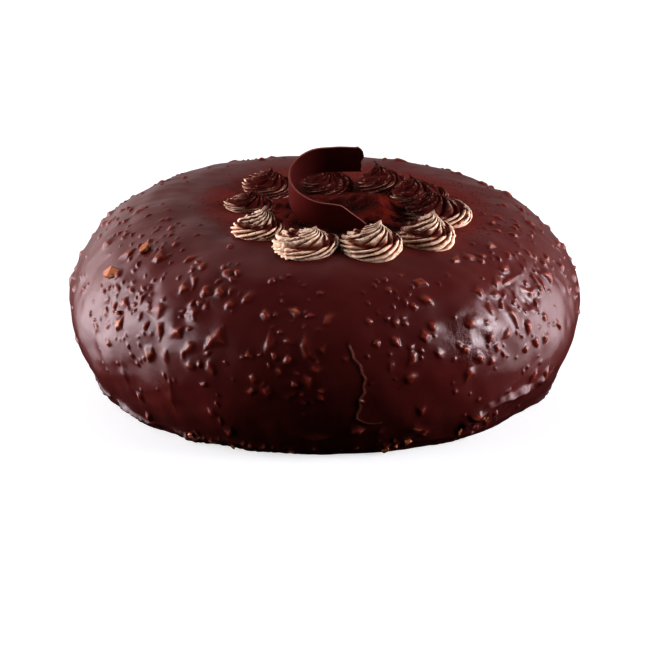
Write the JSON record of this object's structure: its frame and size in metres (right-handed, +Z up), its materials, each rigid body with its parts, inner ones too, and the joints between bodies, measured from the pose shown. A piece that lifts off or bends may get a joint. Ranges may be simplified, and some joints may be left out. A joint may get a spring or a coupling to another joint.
{
  "type": "chocolate hazelnut cake",
  "caption": "Round glazed chocolate cake with chopped hazelnuts under the glaze, a ring of piped cream rosettes, cocoa dusting and a chocolate curl.",
  "frame": {"origin": "on the cake's axis, at its flat underside, which rests on the table or cake board", "axes": "+Z up, -Y towards the front that is seen in the picture, +X to the right of that view"},
  "size_m": [0.2095, 0.2095, 0.1025],
  "materials": {
    "chocolate_glaze": "glossy dark chocolate glaze over chopped nuts",
    "hazelnut_cream": "soft piped cream, dusted with cocoa",
    "cocoa_dusted_cream": "soft cream under a coat of cocoa powder",
    "curl_chocolate": "dark tempered chocolate, satin",
    "chopped_hazelnut": "bare broken hazelnut",
    "cocoa_powder": "dry cocoa powder"
  },
  "bodies": {
    "root": {"cake_body": "chocolate_glaze", "cream_rosette_01": "hazelnut_cream", "cream_rosette_02": "hazelnut_cream", "cream_rosette_03": "hazelnut_cream", "cream_rosette_04": "hazelnut_cream", "cream_rosette_05": "hazelnut_cream", "cream_rosette_06": "hazelnut_cream", "cream_rosette_07": "hazelnut_cream", "cream_rosette_08": "hazelnut_cream", "cream_rosette_09": "hazelnut_cream", "cream_rosette_10": "hazelnut_cream", "cream_mound": "cocoa_dusted_cream", "chocolate_curl": "curl_chocolate"}
  },
  "joints": []
}
